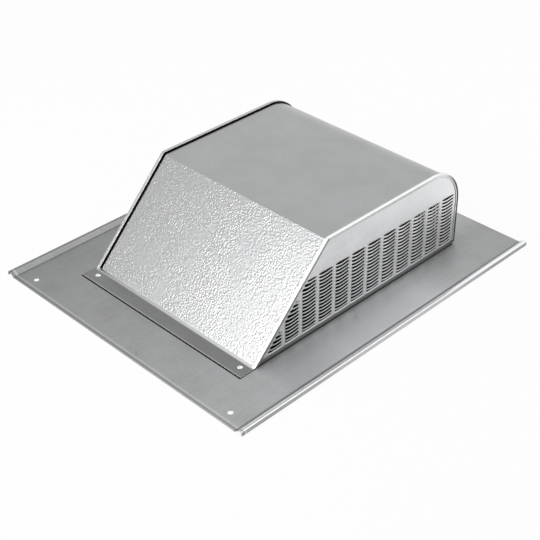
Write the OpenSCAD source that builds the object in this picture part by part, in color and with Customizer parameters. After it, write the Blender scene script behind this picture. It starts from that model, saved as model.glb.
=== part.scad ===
// Slant-back roof louver in mill-finish aluminium sheet.
// A flashing with a round throat carries a bent hood whose sides and back are louvered panels.
// X runs across the roof, +Y down the slope and +Z away from the roof.
// The origin is the middle of the flashing's underside.

/* [Flashing] */
// Width of the flashing across the roof
flashing_w = 381; // [340:1:460]
// Length of the flashing up the roof
flashing_l = 457.2; // [430:0.1:560]
// Thickness of the flashing sheet
flashing_t = 0.6; // [0.4:0.1:1]
// Width of the raised rib along each side edge
rib_w = 10.3; // [8:0.1:14]
// Height of the raised rib's crest
rib_h = 4.8; // [3:0.1:7]
// Width of the rib's flat crest
rib_crest_w = 3.6; // [2:0.1:5]
// Width that the rib's outer wall leans over
rib_lean = 0.9; // [0.5:0.1:1.5]

/* [Nail holes] */
// Diameter of the two nail holes
nail_hole_d = 6; // [4:0.5:8]
// Distance of a nail hole from the side edge
nail_inset_x = 32.2; // [20:0.1:40]
// Distance of a nail hole from the upslope edge
nail_inset_y = 15.5; // [10:0.1:25]

/* [Throat] */
// Inside diameter of the throat and its collar
throat_d = 203; // [150:1:208]
// Distance of the throat's centre downslope from the flashing's middle
throat_y = 30; // [22:1:38]
// Height of the collar above the flashing
collar_h = 19; // [10:1:25]

/* [Hood] */
// Width of the hood over its side seams
hood_w = 256.5; // [250:0.5:290]
// Height of the hood's top above the roof
hood_h = 107.5; // [100:0.5:125]
// Length of the hood from the slanted face's foot to its back
hood_l = 320.6; // [300:0.1:350]
// Distance of the hood's middle downslope from the flashing's middle
hood_y = 10.5; // [0:0.5:20]
// Thickness of the hood sheet
hood_t = 0.6; // [0.4:0.1:1]
// Angle of the slanted face to the roof
slant_angle = 45.7; // [40:0.1:55]
// Outer radius of the bend between the slanted face and the top
front_bend_r = 3; // [2:0.5:6]
// Outer radius of the rolled edge between the top and the back
rear_bend_r = 47; // [30:1:50]
// Length of the flange in front of the slanted face
front_flange_l = 21; // [15:0.5:28]
// Height of the hood's rear edge above the roof
hood_tail_h = 52; // [45:0.5:54]

/* [Seams] */
// Height of the folded seam above the hood's surface
seam_h = 2; // [1.8:0.1:5]
// Length of the seam's outer leg over the side panel
seam_leg = 4; // [3.5:0.1:6]
// Gap inside the hemmed edge of a side panel
hem_gap = 1.6; // [0.5:0.1:2]
// Length of the hem's return leg
hem_l = 3.5; // [2:0.1:5]
// Clearance between folded or riveted pieces
fit_gap = 0.05; // [0.02:0.01:0.15]

/* [Louver panels] */
// Thickness of the louvered panels
panel_t = 0.5; // [0.4:0.1:0.8]
// Height from one louver to the next
louver_pitch = 4.32; // [4:0.01:6]
// How far the strip in each row's lower half is pressed out
bow_out = 1.6; // [1:0.1:3]
// How far the strip in each row's upper half is pressed in
bow_in = 1.6; // [0.8:0.1:2]
// How far the lowest strip is pressed out
lowest_bow = 0.7; // [0.4:0.1:1]
// Share of a strip's length at which it is pressed furthest
bow_crest = 0.3; // [0.25:0.05:0.5]
// Width of one column of louvers
column_w = 22.6; // [15:0.1:23.5]
// Distance from one column to the next
column_pitch = 25.1; // [24.5:0.1:30]
// Height of the louvers' lower edge above the roof
field_bottom = 7; // [5:0.1:10]
// Height of the side louvers' upper edge above the roof
field_top = 70.6; // [40:0.1:74]
// Plain margin between the slanted face and the first louvers
slant_margin = 3.5; // [3:0.5:12]
// Plain margin between the rear seam and the last louvers of a side panel
edge_margin = 4; // [2:0.5:10]
// Plain margin between the rear louvers and the seams beside them
rear_side_margin = 6.5; // [5:0.5:12]
// Plain margin between the rear louvers and the hood's rear edge
rear_top_margin = 1.5; // [1:0.1:5]
// Shortest louver that is pressed beside the slanted face
shortest_louver = 3; // [3:0.5:10]
// Length of each panel's foot flange on the flashing
foot_flange_l = 14; // [10:0.5:15]
// Distance from the slanted face's foot to the side panels' foot flanges
foot_flange_setback = 28; // [20:1:60]
// Gap between the foot flanges of the side and rear panels
foot_flange_gap = 1; // [0.5:0.1:3]
// Length of the clipped lower rear corner of a side panel
corner_cut_l = 8; // [4:0.5:12]
// Height of the clipped lower rear corner of a side panel
corner_cut_h = 2.7; // [1:0.1:4]
// Overlap of the rear panel behind the hood's rear edge
lap_l = 7; // [4:0.5:8]

/* [Rivets] */
// Shank diameter of the rivets
rivet_d = 3.2; // [2.4:0.1:4]
// Diameter of the rivets' domed heads
rivet_head_d = 6; // [5:0.1:8]
// Height of the rivets' domed heads
rivet_head_h = 1.2; // [0.8:0.1:1.6]
// Distance of a front rivet from the hood's side
front_rivet_inset = 12.6; // [8:0.1:30]
// Distance of the front rivets from the slanted face's foot
front_rivet_setback = 9.6; // [6:0.1:12]
// Distance between the rivets of a side panel
side_rivet_pitch = 110; // [60:1:120]
// Distance between the rivets of the rear panel
rear_rivet_pitch = 130; // [60:1:180]

/* [Hidden] */
// Cutters run past the surfaces that they cut by this much
over = 1;
// Circles are true circles in the finished solids
circle_steps = 96;
front_bend_steps = 6;
rear_bend_steps = 24;
rib_bend_steps = 3;
rib_bend_r = 1;
// Angle by which the rib's outer wall leans
rib_wall_angle = 15;
// Depth by which a strip's ends run into the ribs beside it
strip_root = 0.3;
mill = [0.78, 0.79, 0.8];
mill_bright = [0.86, 0.87, 0.88];

floor_z = flashing_t;
foot_y = hood_y - hood_l / 2;
back_y = hood_y + hood_l / 2;
half_w = hood_w / 2;
// Positions across the seam, from the outer leg inward
panel_out_x = half_w - hood_t - fit_gap;
hem_in_x = panel_out_x - 2 * panel_t - hem_gap;
inner_leg_x = hem_in_x - fit_gap - hood_t;
// The hood's outline: top corner above the slanted face, and the centres of the two bends
crest_y = foot_y + hood_h / tan(slant_angle);
front_bend_c = [crest_y + front_bend_r * tan(slant_angle / 2), hood_h - front_bend_r];
rear_bend_c = [back_y - rear_bend_r, hood_h - rear_bend_r];
// How far the side panels' edges rise above the hood's surface
panel_rise = seam_h - hood_t - fit_gap;
// The rear panel lies behind the hood's rear edge
rear_out_y = back_y - hood_t - fit_gap;
rear_top_z = hood_tail_h + lap_l;
side_rows = round((field_top - field_bottom) / louver_pitch);
rear_rows = floor((hood_tail_h - rear_top_margin - field_bottom) / louver_pitch);
rear_field_top = field_bottom + rear_rows * louver_pitch;
side_field_end = back_y - hood_t - edge_margin;
side_columns = ceil((side_field_end - foot_y - slant_margin) / column_pitch);
rear_field_w = 2 * (inner_leg_x - rear_side_margin);
rear_columns = floor((rear_field_w + column_pitch - column_w) / column_pitch);
front_rivet_y = foot_y - front_rivet_setback;
side_rivet_x = panel_out_x - foot_flange_l / 2;
rear_rivet_y = rear_out_y - foot_flange_l / 2;
side_foot_start = foot_y + foot_flange_setback;
side_foot_end = rear_out_y - foot_flange_l - foot_flange_gap;
side_foot_mid = (side_foot_start + side_foot_end) / 2;
// The hem and the seams stop just above the front flange
hem_foot_z = floor_z + hood_t + fit_gap;
front_rivets = [for (s = [-1, 1]) [s * (half_w - front_rivet_inset), front_rivet_y]];
side_rivets = [for (i = [-1:1]) [side_rivet_x, side_foot_mid + i * side_rivet_pitch]];
rear_rivets = [for (s = [-1, 1]) [s * rear_rivet_pitch / 2, rear_rivet_y]];

function arc(centre, r, from, to, steps) =
  [for (i = [0:steps]) let (a = from + (to - from) * i / steps) centre + r * [cos(a), sin(a)]];

// Where the slanted face, moved inward by depth, stands at height z
function slant_y(depth, z) = foot_y + (depth + z * cos(slant_angle)) / sin(slant_angle);

// The hood's side outline moved inward by depth; a negative depth grows it
function outline(depth, low) = concat(
  [[slant_y(depth, low), low]],
  arc(front_bend_c, front_bend_r - depth, 90 + slant_angle, 90, front_bend_steps),
  arc(rear_bend_c, rear_bend_r - depth, 90, 0, rear_bend_steps),
  [[back_y - depth, low]]
);

// Radius of an arc that rises by height over half a chord
function bow_r(half_chord, height) = (half_chord * half_chord + height * height) / (2 * height);

// Stands a flat side view up and gives it a width along X
module along_x(from, to) {
  translate([from, 0, 0]) rotate([90, 0, 90]) linear_extrude(to - from) children();
}

// The strip of the outline between two depths
module outline_band(outer, inner, low) {
  difference() {
    polygon(outline(outer, low));
    polygon(outline(inner, low - over));
  }
}

// The hood's part of such a strip, which ends at its rear edge
module hood_band(outer, inner) {
  difference() {
    outline_band(outer, inner, floor_z);
    translate([rear_bend_c.x, -over]) square([rear_bend_r + 2 * seam_h, hood_tail_h + over]);
  }
}

module mirror_pair() {
  children();
  mirror([1, 0, 0]) children();
}

// One folded side seam of the hood: inner leg, cap and outer leg
module hood_seam() {
  along_x(inner_leg_x, inner_leg_x + hood_t) hood_band(-seam_h, hood_t);
  along_x(inner_leg_x, half_w) hood_band(-seam_h, hood_t - seam_h);
  along_x(half_w - hood_t, half_w) hood_band(-seam_h, seam_leg - seam_h);
}

module rivet_hole(at) {
  translate([at.x, at.y, -over])
    cylinder(h = floor_z + hood_t + panel_t + 2 * over, d = rivet_d + 2 * fit_gap, $fn = circle_steps);
}

// A rivet through the flashing and one sheet of thickness t, with a low domed head
module rivet(t) {
  dome_r = bow_r(rivet_head_d / 2, rivet_head_h);
  seat = floor_z + t;
  cylinder(h = seat, d = rivet_d, $fn = circle_steps);
  intersection() {
    translate([0, 0, seat + rivet_head_h - dome_r]) sphere(r = dome_r, $fn = circle_steps);
    translate([0, 0, seat]) cylinder(h = rivet_head_h + over, d = rivet_head_d + over, $fn = circle_steps);
  }
}

// The rib's section above the flat sheet, from its inner foot to the outer edge
function rib_line(t) = let (
  edge = flashing_w / 2,
  slope = atan2(rib_h - flashing_t, rib_w - rib_crest_w - rib_lean),
  crest_in = edge - rib_lean - rib_crest_w + rib_bend_r / 2,
  crest_out = edge - rib_lean - rib_bend_r / 2
) concat(
  [[edge - rib_w, t]],
  arc([crest_in, rib_h - rib_bend_r], rib_bend_r - flashing_t + t, 90 + slope, 90, rib_bend_steps),
  arc([crest_out, rib_h - rib_bend_r], rib_bend_r - flashing_t + t, 90, rib_wall_angle, rib_bend_steps),
  [[edge - flashing_t + t, 0]]
);

module rib() {
  outer = rib_line(flashing_t);
  inner = rib_line(0);
  points = concat(outer, [for (i = [len(inner) - 1:-1:0]) inner[i]]);
  translate([0, flashing_l / 2, 0]) rotate([90, 0, 0]) linear_extrude(flashing_l) polygon(points);
}

module base_flashing() color(mill) {
  flat_w = flashing_w - 2 * rib_w + 2 * flashing_t;
  difference() {
    union() {
      translate([-flat_w / 2, -flashing_l / 2, 0]) cube([flat_w, flashing_l, flashing_t]);
      mirror_pair() rib();
      translate([0, throat_y, 0])
        cylinder(h = flashing_t + collar_h, d = throat_d + 2 * flashing_t, $fn = circle_steps);
    }
    translate([0, throat_y, -over])
      cylinder(h = flashing_t + collar_h + 2 * over, d = throat_d, $fn = circle_steps);
    for (s = [-1, 1])
      translate([s * (flashing_w / 2 - nail_inset_x), nail_inset_y - flashing_l / 2, -over])
        cylinder(h = flashing_t + 2 * over, d = nail_hole_d, $fn = circle_steps);
    for (at = concat(front_rivets, rear_rivets)) rivet_hole(at);
    mirror_pair() for (at = side_rivets) rivet_hole(at);
  }
}

module hood_shell() color(mill_bright) {
  difference() {
    union() {
      along_x(-inner_leg_x - hood_t, inner_leg_x + hood_t) hood_band(0, hood_t);
      mirror_pair() hood_seam();
      translate([-half_w, foot_y - front_flange_l, floor_z])
        cube([hood_w, front_flange_l + slant_y(hood_t, floor_z) - foot_y, hood_t]);
    }
    for (at = front_rivets) rivet_hole(at);
  }
}

// One thin arc that leaves the sheet by height on one side, from its crest to its end
module half_strip(crest, end, height, side) {
  r = bow_r(abs(end - crest), height);
  far = end + sign(end - crest) * strip_root;
  intersection() {
    translate([crest, panel_t / 2 + side * (height - r)]) difference() {
      circle(r + panel_t / 2, $fn = circle_steps);
      circle(r - panel_t / 2, $fn = circle_steps);
    }
    translate([min(crest, far), side < 0 ? -height - panel_t : 0])
      square([abs(far - crest), height + 2 * panel_t]);
  }
}

// A whole strip between u0 and u1; a short one is pressed less far
module strip(u0, u1, height, side) {
  crest = u0 + bow_crest * (u1 - u0);
  share = min(1, (u1 - u0) / column_w);
  for (end = [u0, u1]) half_strip(crest, end, height * share, side);
}

// Cuts a field of louvers into a flat panel. Its outer face is at Y = 0 and looks along -Y.
// Each column is [start, end], and first_u gives where row r may start at the earliest.
// Each row keeps an outward strip in its lower half and an inward strip in its upper half.
module louver_field(columns, rows, first_u, top, reach) {
  half_row = louver_pitch / 2;
  function low(r) = field_bottom + r * louver_pitch;
  function start(c, r) = max(columns[c][0], first_u[r]);
  function fits(c, r) = columns[c][1] - start(c, r) >= shortest_louver;
  // How many rows, from the lowest up, span the whole width of column c
  function full_rows(c) = len([for (u = first_u) if (u <= columns[c][0]) u]);
  // Blocks of equally long louvers as [start, end, low, high]
  blocks = [for (c = [0:len(columns) - 1]) let (n = full_rows(c)) each concat(
    n > 0 ? [[columns[c][0], columns[c][1], low(0), min(low(n), top)]] : [],
    [for (r = [n:1:rows - 1]) if (fits(c, r)) [start(c, r), columns[c][1], low(r), min(low(r + 1), top)]]
  )];
  difference() {
    union() {
      difference() {
        children();
        for (b = blocks) translate([b[0], -over, b[2]]) cube([b[1] - b[0], panel_t + 2 * over, b[3] - b[2]]);
      }
      for (b = blocks) {
        from = max(b[2], low(0) + half_row);
        translate([0, 0, from]) linear_extrude(b[3] - from) {
          strip(b[0], b[1], bow_out, -1);
          strip(b[0], b[1], bow_in, 1);
        }
        if (b[2] < from) translate([0, 0, b[2]]) linear_extrude(half_row) strip(b[0], b[1], lowest_bow, -1);
      }
    }
    for (r = [0:rows - 1]) {
      translate([reach[0], -bow_out - 2 * over, low(r) + half_row])
        cube([reach[1] - reach[0], bow_out + 2 * over, half_row]);
      if (r > 0) translate([reach[0], panel_t, low(r)])
        cube([reach[1] - reach[0], bow_in + 2 * over, half_row]);
    }
  }
}

// The right-hand panel: louvered sheet with a hemmed outline and a foot flange
module side_panel() {
  ends = [for (i = [side_columns - 1:-1:0]) side_field_end - i * column_pitch];
  columns = [for (e = ends) [e - column_w, e]];
  first_u = [for (r = [0:side_rows - 1]) slant_y(slant_margin, field_bottom + (r + 1) * louver_pitch)];
  difference() {
    union() {
      translate([panel_out_x, 0, 0]) rotate([0, 0, 90])
        louver_field(columns, side_rows, first_u, field_top, [foot_y, side_field_end + over])
          rotate([90, 0, 0]) translate([0, 0, -panel_t]) linear_extrude(panel_t)
            polygon(outline(-panel_rise, floor_z));
      along_x(hem_in_x, panel_out_x) outline_band(-panel_rise, panel_t - panel_rise, hem_foot_z);
      along_x(hem_in_x, hem_in_x + panel_t) outline_band(-panel_rise, hem_l - panel_rise, hem_foot_z);
      translate([panel_out_x - foot_flange_l, side_foot_start, floor_z])
        cube([foot_flange_l - panel_t / 2, side_foot_end - side_foot_start, panel_t]);
    }
    for (at = side_rivets) rivet_hole(at);
    along_x(hem_in_x - over, panel_out_x + over) corner_cut();
  }
}

module corner_cut() {
  tip_y = back_y + seam_h;
  polygon([
    [tip_y - corner_cut_l, floor_z - over], [tip_y - corner_cut_l, floor_z],
    [tip_y, floor_z + corner_cut_h], [tip_y + over, floor_z + corner_cut_h],
    [tip_y + over, floor_z - over]
  ]);
}

module right_louver_panel() color(mill) side_panel();

module left_louver_panel() color(mill) mirror([1, 0, 0]) side_panel();

// The rear panel's fold around the hemmed rear edge of one side panel
module rear_seam() {
  low = floor_z + corner_cut_h;
  tall = hood_tail_h - fit_gap - low;
  tip_y = back_y + seam_h;
  translate([inner_leg_x, rear_out_y - panel_t, low]) cube([panel_t, tip_y - rear_out_y + panel_t, tall]);
  translate([inner_leg_x, tip_y - panel_t, low]) cube([half_w - inner_leg_x, panel_t, tall]);
  translate([half_w - panel_t, tip_y - seam_leg, low]) cube([panel_t, seam_leg, tall]);
}

module rear_louver_panel() color(mill) {
  field_w = rear_columns * column_pitch - (column_pitch - column_w);
  columns = [for (i = [0:rear_columns - 1]) let (u = i * column_pitch - field_w / 2) [u, u + column_w]];
  first_u = [for (r = [0:rear_rows - 1]) -half_w];
  sheet_w = 2 * (inner_leg_x + panel_t);
  foot_w = 2 * (panel_out_x - foot_flange_l - foot_flange_gap);
  difference() {
    union() {
      translate([0, rear_out_y, 0]) rotate([0, 0, 180])
        louver_field(columns, rear_rows, first_u, rear_field_top, [-field_w / 2 - over, field_w / 2 + over])
          translate([-sheet_w / 2, 0, floor_z]) cube([sheet_w, panel_t, rear_top_z - floor_z]);
      mirror_pair() rear_seam();
      translate([-foot_w / 2, rear_out_y - foot_flange_l, floor_z])
        cube([foot_w, foot_flange_l - panel_t / 2, panel_t]);
    }
    for (at = rear_rivets) rivet_hole(at);
  }
}

module front_flange_rivets() color(mill_bright)
  for (at = front_rivets) translate([at.x, at.y, 0]) rivet(hood_t);

module right_panel_rivets() color(mill_bright)
  for (at = side_rivets) translate([at.x, at.y, 0]) rivet(panel_t);

module left_panel_rivets() color(mill_bright) mirror([1, 0, 0])
  for (at = side_rivets) translate([at.x, at.y, 0]) rivet(panel_t);

module rear_panel_rivets() color(mill_bright)
  for (at = rear_rivets) translate([at.x, at.y, 0]) rivet(panel_t);

base_flashing();
hood_shell();
right_louver_panel();
left_louver_panel();
rear_louver_panel();
front_flange_rivets();
right_panel_rivets();
left_panel_rivets();
rear_panel_rivets();
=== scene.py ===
import math

import bpy
from mathutils import Matrix, Vector


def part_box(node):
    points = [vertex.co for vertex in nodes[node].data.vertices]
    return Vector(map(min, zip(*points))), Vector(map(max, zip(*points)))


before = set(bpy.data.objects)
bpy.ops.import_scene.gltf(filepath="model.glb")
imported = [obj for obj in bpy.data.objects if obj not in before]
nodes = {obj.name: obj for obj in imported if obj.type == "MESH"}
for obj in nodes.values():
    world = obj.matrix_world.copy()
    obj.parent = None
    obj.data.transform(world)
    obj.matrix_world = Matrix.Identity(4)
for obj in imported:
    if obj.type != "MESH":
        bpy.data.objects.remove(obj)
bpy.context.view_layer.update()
MM = 0.001

# Camera, worked out from the photograph: angles in degrees, lengths in metres
CAMERA_AZIMUTH = 45.49
CAMERA_ELEVATION = 34.80
CAMERA_ROLL = -0.56
CAMERA_DISTANCE = 1.3790
ORIGIN_RIGHT_OF_CENTRE = 0.0013
ORIGIN_ABOVE_CENTRE = 0.0120
SENSOR_W = 36.0
FOCAL_LENGTH = 80.3

# Main places, in metres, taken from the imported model
HOOD_LOW, HOOD_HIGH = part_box("hood_shell")
FLASHING_FRONT_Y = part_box("base_flashing")[0].y
FLANGE_FRONT_Y = HOOD_LOW.y

# The hood's outline in its side view: the slanted face's foot and angle, and the rear roll
SLANT_FOOT_Y = FLANGE_FRONT_Y + 21 * MM
SLANT_ANGLE = math.radians(45.7)
TOP_START_Y = SLANT_FOOT_Y + HOOD_HIGH.z / math.tan(SLANT_ANGLE)
ROLL_RADIUS = 47 * MM
ROLL_Y = 123.8 * MM
ROLL_Z = 60.5 * MM
WALL_X = 127.45 * MM

# Heights over the roof that tell the sheets lying on it from what stands on them
ROOF_CLEAR_Z = 0.3 * MM
FLANGE_TOP_Z = 1.5 * MM

# The floor is white but for the part that the throat looks down on, where the closed roof is dark
THROAT = (0, 0.03, 0)
THROAT_REACH = 0.12
FLOOR_WHITE = 0.92
FLOOR_HALF = 8.0
FLOOR_DROP = 0.2 * MM
WORLD_STRENGTH = 0.6

# The inside of the hood, where hardly any light comes, is painted dark as shade
PAINTED_SHADE_TONE = 0.008
COLLAR_RADIUS = 101.9 * MM

# The folded seams: caps painted lighter with a painted highlight at the right cap's outer edge, legs
# over the side panels painted lit and shaded, inner walls and rear edges painted dark as shade, and a
# painted shadow line beside the left seam
SEAM_HEIGHT = 2 * MM
SEAM_START = -0.3 * MM
SEAM_SHADE = 0.01
CAP_TONE = 0.48
CAP_EDGE = 0.95
CAP_EDGE_START_X = WALL_X - 2.2 * MM
CAP_EDGE_END_X = WALL_X - 0.8 * MM
LEG_DEPTH = 4 * MM
LEG_SHARE = 0.8
LEG_BRIGHT_DEPTH = -0.6 * MM
LEG_SLANT = 0.28
LEG_TOP = 0.62
LEG_LINE = 0.25
LEG_ROLL = 0.85
REAR_EDGE_W = 2.8 * MM
LEFT_LINE_START_X = 5.6 * MM - WALL_X
LEFT_LINE_END_X = 5.0 * MM - WALL_X

# The front flange: painted dark as shade, with a painted highlight on its front edge and a painted
# highlight strip at its bend, lighter to the right
FLANGE_SHADE_TONE = 0.08
FLANGE_SHARE = 0.55
FLANGE_EDGE_W = 1.3 * MM
FLANGE_EDGE_HIGHLIGHT_TONE = 0.42
FLANGE_EDGE_SHARE = 0.6
BEND_START_Y = SLANT_FOOT_Y - 4.2 * MM
BEND_END_Y = SLANT_FOOT_Y - 2.6 * MM
BEND_LEFT = 0.48
BEND_RIGHT = 0.74
BEND_REACH_X = 0.12

# The louvers: pitch, lowest edge and the share of a row that a pressed strip's bright middle takes; the
# rest of each strip is painted dark as shade, and the lowest strip gets a painted highlight
LOUVER_PITCH = 4.32 * MM
LOUVER_LOW = 7 * MM
STRIP_START = 0.07
STRIP_END = 0.41
STRIP_END_BACK = 0.50
LOWEST_SHARE = 0.5
LOWEST_HIGHLIGHT_TONE = 0.95
PRESSED_LEAST = 0.12 * MM
PANEL_OUT_X = WALL_X + 0.15 * MM
REAR_OUT_Y = 170.15 * MM
SIDE_FIELD_END_Y = 166.5 * MM
REAR_FIELD_X = 122 * MM
PANEL_DEPTH = 0.5 * MM
CUT_FACING = 0.6
CUT_LEAST_Z = 5 * MM

# The panels: painted lighter towards the back as light, and painted dark along the foot as shade
BACK_LIGHT_TONE = 0.90
BACK_SHARE = 0.8
FOOT_SHADE_TONE = 0.12
FOOT_SHARE = 0.80

# The flashing: painted darker to the left and downslope as shade, and painted lighter beside the hood
# as light
FLASHING_SHADE_TONE = 0.10
LEFT_SHARE = 0.43
PAINTED_LIGHT_TONE = 0.95
BESIDE_W = 8 * MM
BESIDE_SHARE = 0.30
DOWNSLOPE_SHARE = 0.30

# The flashing's ribs: a painted highlight on the right crest with a painted grey shade line, the left
# rib painted dark as shade, and painted shade at the inner feet
RIB_FOOT_X = 180.2 * MM
RIB_CREST_Z = 4.8 * MM
CREST_HIGHLIGHT_TONE = 0.74
CREST_LINE_TONE = 0.36
LEFT_RIB_SHADE_TONE = 0.22
RIB_FOOT_HALF_W = 0.9 * MM
RIB_FOOT_SHARE = 0.75

# Painted contact shadows on the flashing, and a painted shade line and a painted highlight line along
# its upslope edge
LINE_DARK = 0.08
EDGE_DARK_SHARE = 0.35
EDGE_LIGHT_SHARE = 0.15
CONTACT_SHADOW_TONE = 0.02
FLANGE_SHADOW_W = 1.8 * MM
CONTACT_OUT = 1.3 * MM
CONTACT_IN = 0.5 * MM
CONTACT_SHARE = 0.75

# Shared finish: rounding of sheet edges, the painted highlight on them, and the reach and tone of the
# painted shade in creases
EDGE_RADIUS = 0.9 * MM
EDGE_HIGHLIGHT_TONE = 0.8
EDGE_SHARE = 0.6
CREASE_REACH = 1.6 * MM
CREASE_DARK = 0.06
SHADING_SAMPLES = 6


def camera_axes(azimuth, elevation, roll):
    """Right, up and backward directions of a camera that looks at the object from this side."""
    a, e, r = (math.radians(x) for x in (azimuth, elevation, roll))
    back = Vector((math.sin(a) * math.cos(e), -math.cos(a) * math.cos(e), math.sin(e)))
    flat_right = Vector((math.cos(a), math.sin(a), 0))
    flat_up = back.cross(flat_right)
    right = flat_right * math.cos(r) + flat_up * math.sin(r)
    up = flat_up * math.cos(r) - flat_right * math.sin(r)
    return right, up, back


def make_camera():
    """The camera at the photograph's angle."""
    right, up, back = camera_axes(CAMERA_AZIMUTH, CAMERA_ELEVATION, CAMERA_ROLL)
    place = back * CAMERA_DISTANCE - right * ORIGIN_RIGHT_OF_CENTRE - up * ORIGIN_ABOVE_CENTRE
    data = bpy.data.cameras.new("camera")
    data.sensor_width = SENSOR_W
    data.lens = FOCAL_LENGTH
    data.clip_start = 0.05
    data.clip_end = 60
    camera = bpy.data.objects.new("camera", data)
    camera.matrix_world = Matrix((right, up, back)).transposed().to_4x4()
    camera.location = place
    bpy.context.scene.collection.objects.link(camera)
    bpy.context.scene.camera = camera


class Nodes:
    """A few short ways to build a node tree."""

    def __init__(self, tree):
        self.tree = tree
        tree.nodes.clear()

    def add(self, kind, **settings):
        node = self.tree.nodes.new(kind)
        inputs = settings.pop("inputs", {})
        for name, value in settings.items():
            setattr(node, name, value)
        for name, value in inputs.items():
            if isinstance(value, bpy.types.NodeSocket):
                self.tree.links.new(value, node.inputs[name])
            else:
                node.inputs[name].default_value = value
        return node

    def math(self, operation, a, b=0.0):
        return self.add("ShaderNodeMath", operation=operation, inputs={0: a, 1: b}).outputs[0]

    def above(self, value, limit):
        """1 where the value is over the limit."""
        return self.math("GREATER_THAN", value, limit)

    def below(self, value, limit):
        """1 where the value is under the limit."""
        return self.math("LESS_THAN", value, limit)

    def flip(self, test):
        """1 where the test is 0."""
        return self.math("SUBTRACT", 1.0, test)

    def all(self, *tests):
        """1 where all of the tests are 1."""
        value = tests[0]
        for test in tests[1:]:
            value = self.math("MULTIPLY", value, test)
        return value

    def share(self, test, factor):
        """The test weakened to this share."""
        return self.math("MULTIPLY", test, factor)

    def noise(self, place, scale, detail=2.0, roughness=0.5, distortion=0.0):
        node = self.add("ShaderNodeTexNoise", inputs={
            "Vector": place, "Scale": scale, "Detail": detail,
            "Roughness": roughness, "Distortion": distortion,
        })
        return node.outputs["Fac"]

    def stretch(self, place, factors, turn=(0, 0, 0)):
        node = self.add("ShaderNodeMapping", inputs={
            "Vector": place, "Scale": factors, "Rotation": turn,
        })
        return node.outputs["Vector"]

    def spread(self, value, low, high, to_low=0.0, to_high=1.0):
        node = self.add("ShaderNodeMapRange", clamp=True, inputs={
            "Value": value, "From Min": low, "From Max": high, "To Min": to_low, "To Max": to_high,
        })
        return node.outputs["Result"]

    def band(self, value, start, end, blur):
        """1 between the start and the end, with soft sides."""
        return self.all(self.spread(value, start, start + blur), self.spread(value, end, end - blur))

    def mix(self, factor, first, second):
        """Goes from the first colour to the second; each is a colour or another node's output."""
        node = self.add("ShaderNodeMix", data_type="RGBA", clamp_factor=True)
        self.tree.links.new(factor, node.inputs[0])
        for socket, colour in ((node.inputs[6], first), (node.inputs[7], second)):
            if isinstance(colour, bpy.types.NodeSocket):
                self.tree.links.new(colour, socket)
            else:
                socket.default_value = (*colour, 1)
        return node.outputs[2]

    def direct_rays(self):
        """1 on rays from the camera, a mirror-like surface or through a clear one."""
        path = self.add("ShaderNodeLightPath")
        seen = self.math("MAXIMUM", path.outputs["Is Camera Ray"], path.outputs["Is Glossy Ray"])
        return self.math("MAXIMUM", seen, path.outputs["Is Transmission Ray"])


def new_material(name):
    material = bpy.data.materials.new(name)
    material.use_nodes = True
    return material, Nodes(material.node_tree)


def grey(level, tint=0.01):
    return (level * (1 - tint), level, level * (1 + tint))


def edges_and_creases(n, radius, reach):
    """The normal with rounded edges, how near an edge is and how open the surface is (0 to 1)."""
    rounded = n.add("ShaderNodeBevel", samples=SHADING_SAMPLES, inputs={"Radius": radius})
    rounded = rounded.outputs["Normal"]
    flat = n.add("ShaderNodeNewGeometry").outputs["Normal"]
    turned = n.add("ShaderNodeVectorMath", operation="DOT_PRODUCT", inputs={0: rounded, 1: flat})
    near_edge = n.spread(turned.outputs["Value"], 1.0, 0.75)
    shade = n.add("ShaderNodeAmbientOcclusion", samples=SHADING_SAMPLES, inputs={"Distance": reach})
    return rounded, near_edge, n.spread(shade.outputs["AO"], 0.35, 0.85)


class Surface:
    """Object coordinates, normal and depth under the hood's outline, shared by a material's masks."""

    def __init__(self, n):
        self.n = n
        coordinates = n.add("ShaderNodeTexCoord").outputs
        self.place = coordinates["Object"]
        split = n.add("ShaderNodeSeparateXYZ", inputs={"Vector": self.place}).outputs
        self.x, self.y, self.z = split["X"], split["Y"], split["Z"]
        self.wide = n.math("ABSOLUTE", self.x)
        facing = n.add("ShaderNodeSeparateXYZ", inputs={"Vector": coordinates["Normal"]}).outputs
        self.facing_x, self.facing_z = facing["X"], facing["Z"]
        self.depth = self.outline_depth()

    def outline_depth(self):
        """Depth under the slanted face, the top and the rear roll; it is negative on the seams."""
        n = self.n
        past_foot = n.math("SUBTRACT", self.y, SLANT_FOOT_Y)
        from_foot = n.math("MULTIPLY", past_foot, math.sin(SLANT_ANGLE))
        slant = n.math("ADD", from_foot, n.math("MULTIPLY", self.z, -math.cos(SLANT_ANGLE)))
        past_y = n.math("MAXIMUM", n.math("SUBTRACT", self.y, ROLL_Y), 0.0)
        past_z = n.math("MAXIMUM", n.math("SUBTRACT", self.z, ROLL_Z), 0.0)
        square = n.math("ADD", n.math("MULTIPLY", past_y, past_y), n.math("MULTIPLY", past_z, past_z))
        return n.math("MINIMUM", slant, n.math("SUBTRACT", ROLL_RADIUS, n.math("SQRT", square)))

    def inside(self, sheet):
        """1 on the surfaces within the hood, half a sheet or more under its outside."""
        n = self.n
        return n.all(
            n.below(self.wide, WALL_X),
            n.above(self.z, ROOF_CLEAR_Z),
            n.above(self.depth, sheet / 2),
        )

    def outside_collar(self):
        """1 beyond the bore of the throat's collar, which is seen from below."""
        n = self.n
        flat = n.add("ShaderNodeVectorMath", operation="MULTIPLY", inputs={0: self.place, 1: (1, 1, 0)})
        away = n.add("ShaderNodeVectorMath", operation="DISTANCE", inputs={
            0: flat.outputs["Vector"], 1: THROAT,
        })
        return n.above(away.outputs["Value"], COLLAR_RADIUS)

    def rear_edge(self):
        """1 on the outermost line of the seams down the back."""
        n = self.n
        start = REAR_EDGE_W - SEAM_HEIGHT
        outermost = n.spread(self.depth, start, start - 0.3 * MM)
        return n.all(outermost, n.spread(self.y, ROLL_Y + 20 * MM, ROLL_Y + 42 * MM))


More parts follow.
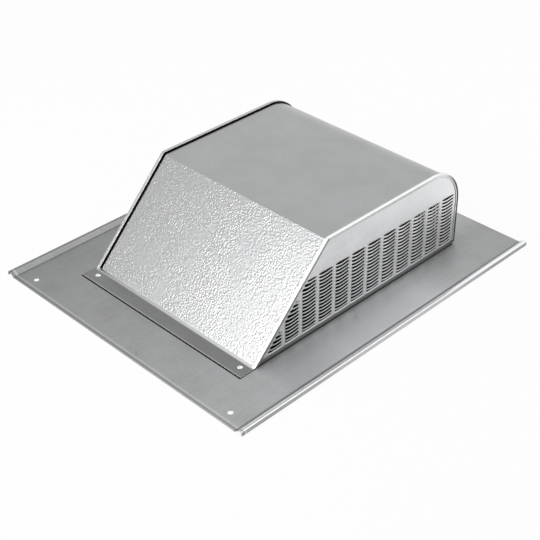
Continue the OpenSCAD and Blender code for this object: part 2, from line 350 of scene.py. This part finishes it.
def leg_tone(n, at):
    """A seam's leg, painted for how light falls on it: darker beside the slanted face, lighter at the
    roll, with a painted shadow line at its foot and a painted highlight along its top.
    """
    foot = n.spread(at.depth, LEG_DEPTH - 1.0 * MM, LEG_DEPTH - 0.6 * MM)
    along_top = n.mix(foot, grey(LEG_TOP), grey(LEG_LINE))
    leg = n.mix(n.above(at.y, TOP_START_Y), grey(LEG_SLANT), along_top)
    leg = n.mix(n.spread(at.y, ROLL_Y - 20 * MM, ROLL_Y + 5 * MM), leg, grey(LEG_ROLL))
    return n.mix(n.below(at.depth, LEG_BRIGHT_DEPTH), leg, grey(CAP_EDGE))


def seam_tones(n, at, colour, flange):
    """The folded seams: legs painted lit and shaded, caps with a painted highlight, and inner walls
    painted black as shade.
    """
    seam = n.all(n.below(at.depth, SEAM_START), n.flip(flange))
    upright = n.above(n.math("ABSOLUTE", at.facing_x), 0.5)
    inward = n.below(n.math("MULTIPLY", at.facing_x, at.x), 0.0)
    outer_leg = n.all(upright, n.above(at.wide, WALL_X))
    # Painted highlight: the caps are painted lighter, and nearly white towards the right cap's outer
    # edge
    cap = n.mix(n.spread(at.x, CAP_EDGE_START_X, CAP_EDGE_END_X), grey(CAP_TONE), grey(CAP_EDGE))
    colour = n.mix(n.share(outer_leg, LEG_SHARE), colour, leg_tone(n, at))
    colour = n.mix(n.all(seam, n.flip(upright)), colour, cap)
    # Painted shade: the seams' inner walls are painted black
    return n.mix(n.all(seam, upright, inward), colour, grey(SEAM_SHADE))


def flange_tones(n, at, colour, flange):
    """The front flange: painted dark as shade, with a painted highlight on its front edge and a painted
    highlight strip at its bend.
    """
    colour = n.mix(n.share(flange, FLANGE_SHARE), colour, grey(FLANGE_SHADE_TONE))
    edge = n.all(flange, n.below(at.y, FLANGE_FRONT_Y + FLANGE_EDGE_W))
    colour = n.mix(n.share(edge, FLANGE_EDGE_SHARE), colour, grey(FLANGE_EDGE_HIGHLIGHT_TONE))
    bend = n.all(flange, n.spread(at.y, BEND_START_Y, BEND_END_Y), n.below(at.wide, WALL_X))
    lit = n.mix(n.spread(at.x, -BEND_REACH_X, BEND_REACH_X), grey(BEND_LEFT), grey(BEND_RIGHT))
    return n.mix(bend, colour, lit)


def hood_tones(n, at, colour):
    """The hood's own places: its seams, its front flange and a painted shadow line beside the left
    seam.
    """
    flange = n.below(at.z, FLANGE_TOP_Z)
    colour = seam_tones(n, at, colour, flange)
    colour = flange_tones(n, at, colour, flange)
    # Painted shadow: a black line on the hood's top beside the left seam only
    line = n.all(
        n.spread(at.x, LEFT_LINE_START_X, LEFT_LINE_END_X),
        n.below(at.depth, 0.3 * MM),
        n.above(at.depth, -0.35 * MM),
        n.flip(flange),
    )
    return n.mix(line, colour, grey(SEAM_SHADE))


def rib_tones(n, at, colour, rib):
    """The flashing's ribs: a painted highlight on the right crest with a painted grey shade line, the
    left rib painted dark as shade, and painted shade at the inner feet.
    """
    right = n.above(at.x, 0.0)
    crest = n.all(rib, right, n.spread(at.z, RIB_CREST_Z - 1.0 * MM, RIB_CREST_Z - 0.4 * MM))
    line = n.all(n.band(at.wide, 187.0 * MM, 188.7 * MM, 0.5 * MM), n.spread(at.y, 0.10, 0.08))
    colour = n.mix(crest, colour, n.mix(line, grey(CREST_HIGHLIGHT_TONE), grey(CREST_LINE_TONE)))
    colour = n.mix(n.all(rib, n.flip(right)), colour, grey(LEFT_RIB_SHADE_TONE))
    foot = n.band(at.wide, RIB_FOOT_X - RIB_FOOT_HALF_W, RIB_FOOT_X + RIB_FOOT_HALF_W, 0.6 * MM)
    return n.mix(n.share(foot, RIB_FOOT_SHARE), colour, grey(LINE_DARK))


def upslope_edge_tones(n, at, colour):
    """A painted shade line and a painted highlight line along the flashing's upslope edge."""
    from_edge = n.math("SUBTRACT", at.y, FLASHING_FRONT_Y)
    dark = n.band(from_edge, 1.2 * MM, 4.2 * MM, 0.8 * MM)
    light = n.band(from_edge, 3.6 * MM, 6.8 * MM, 0.8 * MM)
    colour = n.mix(n.share(dark, EDGE_DARK_SHARE), colour, grey(LINE_DARK))
    return n.mix(n.share(light, EDGE_LIGHT_SHARE), colour, grey(PAINTED_LIGHT_TONE))


def contact_shadow_tones(n, at, colour):
    """Painted contact shadows on the flashing where the front flange and the side panels meet it."""
    flange_shadow = n.all(
        n.below(at.wide, WALL_X + FLANGE_SHADOW_W),
        n.above(at.y, FLANGE_FRONT_Y - FLANGE_SHADOW_W),
        n.below(at.y, SLANT_FOOT_Y),
        n.above(at.z, ROOF_CLEAR_Z),
    )
    contact = n.all(
        n.below(at.wide, WALL_X + CONTACT_OUT),
        n.above(at.wide, WALL_X - CONTACT_IN),
        n.above(at.y, SLANT_FOOT_Y),
        n.below(at.y, REAR_OUT_Y),
        n.above(at.z, ROOF_CLEAR_Z),
    )
    colour = n.mix(n.share(contact, CONTACT_SHARE), colour, grey(CONTACT_SHADOW_TONE))
    return n.mix(flange_shadow, colour, grey(CONTACT_SHADOW_TONE))


def flashing_tones(n, at, colour):
    """The flashing is painted lighter towards the right and beside the hood as light, and darker
    downslope as shade, with painted lines at its edges.
    """
    # Painted shade towards the left, painted light beside the hood, and painted shade downslope
    colour = n.mix(n.spread(at.x, -0.19, 0.16, LEFT_SHARE, 0.0), colour, grey(FLASHING_SHADE_TONE))
    beside = n.all(
        n.spread(at.x, WALL_X, WALL_X + BESIDE_W),
        n.spread(at.y, -0.16, -0.06),
        n.spread(at.y, 0.17, 0.07),
    )
    colour = n.mix(n.share(beside, BESIDE_SHARE), colour, grey(PAINTED_LIGHT_TONE))
    rib = n.above(at.wide, RIB_FOOT_X)
    colour = rib_tones(n, at, colour, rib)
    colour = upslope_edge_tones(n, at, colour)
    downslope = n.all(n.spread(at.x, 0.10, WALL_X), n.spread(at.y, 0.07, 0.14), n.flip(rib))
    colour = n.mix(n.share(downslope, DOWNSLOPE_SHARE), colour, grey(FLASHING_SHADE_TONE))
    return contact_shadow_tones(n, at, colour)


def pressed_out(n, at):
    """1 on the strips that stand out from a side panel or the rear panel."""
    side = n.all(n.above(at.wide, PANEL_OUT_X + PRESSED_LEAST), n.below(at.y, SIDE_FIELD_END_Y))
    rear = n.all(n.above(at.y, REAR_OUT_Y + PRESSED_LEAST), n.below(at.wide, REAR_FIELD_X))
    return n.all(n.math("MAXIMUM", side, rear), n.above(at.depth, PANEL_DEPTH))


def louver_tones(n, at, colour):
    """Pressed strips are bright in the middle and painted dark as shade along both edges; the lowest is
    painted all bright as a highlight.
    """
    row = n.math("DIVIDE", n.math("SUBTRACT", at.z, LOUVER_LOW), LOUVER_PITCH)
    share = n.math("FRACT", row)
    pressed = pressed_out(n, at)
    strip_end = n.spread(at.y, -0.06, 0.08, STRIP_END, STRIP_END_BACK)
    middle = n.all(n.above(share, STRIP_START), n.below(share, strip_end))
    lowest = n.below(row, LOWEST_SHARE)
    # Painted shade: the pressed strips' edges are painted dark
    dark = n.mix(pressed, colour, grey(PAINTED_SHADE_TONE))
    colour = n.mix(n.all(pressed, n.math("MAXIMUM", middle, lowest)), dark, colour)
    # Painted highlight: the lowest pressed strip is painted bright
    return n.mix(n.all(pressed, lowest), colour, grey(LOWEST_HIGHLIGHT_TONE))


def panel_tones(n, at, colour):
    """The panels are painted lighter towards the back as light, and painted dark as shade along the
    foot and on cut edges.
    """
    colour = n.mix(n.spread(at.y, -0.02, 0.16, 0.0, BACK_SHARE), colour, grey(BACK_LIGHT_TONE))
    colour = n.mix(n.spread(at.z, 5.5 * MM, 7.0 * MM, FOOT_SHARE, 0.0), colour, grey(FOOT_SHADE_TONE))
    colour = louver_tones(n, at, colour)
    # Painted shade: upward-facing cut edges of the louvers are painted dark
    cut = n.all(
        n.above(at.facing_z, CUT_FACING),
        n.above(at.z, CUT_LEAST_Z),
        n.above(at.depth, PANEL_DEPTH),
    )
    return n.mix(cut, colour, grey(PAINTED_SHADE_TONE))


def cloudy_tone(n, place, streak):
    """Uneven reflectance of rolled sheet, about 0.5, with streaks along Y."""
    cloud = n.noise(place, 22.0, detail=4.0, roughness=0.6)
    fine = n.noise(place, 420.0)
    rolled = n.noise(n.stretch(place, (520.0, 14.0, 520.0)), 1.0, detail=3.0)
    tone = n.math("ADD", n.math("MULTIPLY", cloud, 0.7), n.math("MULTIPLY", fine, 0.3))
    return n.math("ADD", tone, n.math("MULTIPLY", n.math("SUBTRACT", rolled, 0.5), streak))


def embossed(n, at, size, depth, normal):
    """The normal with rolled-in emboss, which is weaker on level surfaces."""
    turned = n.stretch(at.place, (1, 1, 1), turn=(0.5, 0.3, 0.7))
    height = n.noise(turned, 1.0 / size, detail=0.6, distortion=0.3)
    strength = n.spread(at.facing_z, 0.95, 0.8, 0.3, 1.0)
    bump = n.add("ShaderNodeBump", inputs={
        "Strength": strength, "Distance": depth, "Height": height, "Normal": normal,
    })
    return bump.outputs["Normal"]


def sheet_metal(name, dark, light, roughness, size, depth, tones, streak=0.0, sheet=0.6 * MM):
    """Mill-finish aluminium: cloudy reflectance, emboss, painted highlights on edges, painted shade in
    creases, and its own tones, most of them painted light and shade.
    """
    material, n = new_material(name)
    at = Surface(n)
    rounded, near_edge, openness = edges_and_creases(n, EDGE_RADIUS, CREASE_REACH)
    tone = cloudy_tone(n, at.place, streak)
    colour = n.mix(n.spread(tone, 0.3, 0.7), grey(dark), grey(light))
    # Painted highlight on edges, and painted shade in creases where the surface is less open
    colour = n.mix(n.share(near_edge, EDGE_SHARE), colour, grey(EDGE_HIGHLIGHT_TONE))
    colour = n.mix(openness, grey(CREASE_DARK), colour)
    colour = tones(n, at, colour)
    inside = at.inside(sheet)
    if tones == flashing_tones:
        inside = n.all(inside, at.outside_collar())
    else:
        # Painted shade: the seams' outermost line down the back is painted dark
        colour = n.mix(at.rear_edge(), colour, grey(CREASE_DARK))
    # Painted shade: the surfaces inside the hood are painted dark
    colour = n.mix(inside, colour, grey(PAINTED_SHADE_TONE))
    shader = n.add("ShaderNodeBsdfPrincipled", inputs={
        "Base Color": colour,
        "Metallic": 1.0,
        "Roughness": n.spread(tone, 0.3, 0.7, roughness + 0.05, roughness - 0.04),
        "Normal": embossed(n, at, size, depth, rounded),
    })
    n.add("ShaderNodeOutputMaterial", inputs={"Surface": shader.outputs[0]})
    return material


def plain_metal(name, dark, light, roughness):
    """Bright smooth aluminium for the rivets, with small scuffs."""
    material, n = new_material(name)
    place = n.add("ShaderNodeTexCoord").outputs["Object"]
    scuffs = n.noise(place, 900.0, detail=3.0)
    bump = n.add("ShaderNodeBump", inputs={"Strength": 0.4, "Distance": 0.1 * MM, "Height": scuffs})
    shader = n.add("ShaderNodeBsdfPrincipled", inputs={
        "Base Color": n.mix(n.spread(scuffs, 0.35, 0.65), grey(dark), grey(light)),
        "Metallic": 1.0,
        "Roughness": roughness,
        "Normal": bump.outputs["Normal"],
    })
    n.add("ShaderNodeOutputMaterial", inputs={"Surface": shader.outputs[0]})
    return material


def dress(names, material):
    for name in names:
        slots = nodes[name].data.materials
        slots.clear()
        slots.append(material)


def dress_hood():
    dress(["hood_shell"], sheet_metal(
        "stucco_aluminium", 0.35, 0.41, 0.27, 1.95 * MM, 0.36 * MM, hood_tones))


def dress_flashing():
    dress(["base_flashing"], sheet_metal(
        "flashing_aluminium", 0.345, 0.43, 0.46, 2.8 * MM, 0.26 * MM, flashing_tones, streak=0.3))


def dress_panels():
    panels = ["right_louver_panel", "left_louver_panel", "rear_louver_panel"]
    # Painted light: the panels' metal is given a lighter base colour than the hood's and the
    # flashing's, standing in for the brighter surroundings that the upright panels reflect
    dress(panels, sheet_metal(
        "louver_aluminium", 0.64, 0.75, 0.30, 2.6 * MM, 0.15 * MM, panel_tones,
        streak=0.3, sheet=1.8 * MM))


def dress_rivets():
    rivets = [name for name in nodes if name.endswith("_rivets")]
    dress(rivets, plain_metal("rivet_aluminium", 0.70, 0.85, 0.25))


def floor_material():
    """White to the camera, yet keeping the object's soft shadow."""
    material, n = new_material("floor")
    paint = n.add("ShaderNodeBsdfDiffuse", inputs={"Color": (0.9, 0.9, 0.9, 1)})
    white = n.add("ShaderNodeEmission", inputs={"Color": (1, 1, 1, 1), "Strength": 1.0})
    place = n.add("ShaderNodeNewGeometry").outputs["Position"]
    away = n.add("ShaderNodeVectorMath", operation="DISTANCE", inputs={0: place, 1: THROAT})
    outside = n.above(away.outputs["Value"], THROAT_REACH)
    share = n.share(n.all(n.direct_rays(), outside), FLOOR_WHITE)
    mix = n.add("ShaderNodeMixShader", inputs={0: share, 1: paint.outputs[0], 2: white.outputs[0]})
    n.add("ShaderNodeOutputMaterial", inputs={"Surface": mix.outputs[0]})
    return material


def make_floor():
    """A pale floor just under the flashing."""
    s = FLOOR_HALF
    mesh = bpy.data.meshes.new("floor")
    mesh.from_pydata([(-s, -s, 0), (s, -s, 0), (s, s, 0), (-s, s, 0)], [], [(0, 1, 2, 3)])
    floor = bpy.data.objects.new("floor", mesh)
    floor.location.z = -FLOOR_DROP
    bpy.context.scene.collection.objects.link(floor)
    mesh.materials.append(floor_material())


def make_world():
    """Even light all round, and a white backdrop."""
    world = bpy.data.worlds.new("studio")
    bpy.context.scene.world = world
    world.use_nodes = True
    n = Nodes(world.node_tree)
    seen = n.direct_rays()
    plain = n.add("ShaderNodeBackground", inputs={"Color": (1, 1, 1, 1), "Strength": WORLD_STRENGTH})
    white = n.add("ShaderNodeBackground", inputs={"Color": (1, 1, 1, 1), "Strength": 1.0})
    mix = n.add("ShaderNodeMixShader", inputs={0: seen, 1: plain.outputs[0], 2: white.outputs[0]})
    n.add("ShaderNodeOutputWorld", inputs={"Surface": mix.outputs[0]})


def area_lamp(name, direction, distance, size, watts):
    """A square soft lamp that looks at the middle of the hood."""
    data = bpy.data.lights.new(name, "AREA")
    data.size = size
    data.energy = watts
    lamp = bpy.data.objects.new(name, data)
    towards = Vector(direction).normalized()
    lamp.location = towards * distance + Vector((0, 0, HOOD_HIGH.z / 2))
    lamp.rotation_euler = towards.to_track_quat("Z", "Y").to_euler()
    bpy.context.scene.collection.objects.link(lamp)


make_camera()
make_world()
make_floor()
area_lamp("key", (-0.27, -0.78, 0.54), 1.8, 0.9, 10.5)
area_lamp("overhead", (0.1, 0.5, 0.85), 2.0, 0.9, 9)
dress_hood()
dress_flashing()
dress_panels()
dress_rivets()

bpy.context.scene.view_settings.view_transform = "Standard"
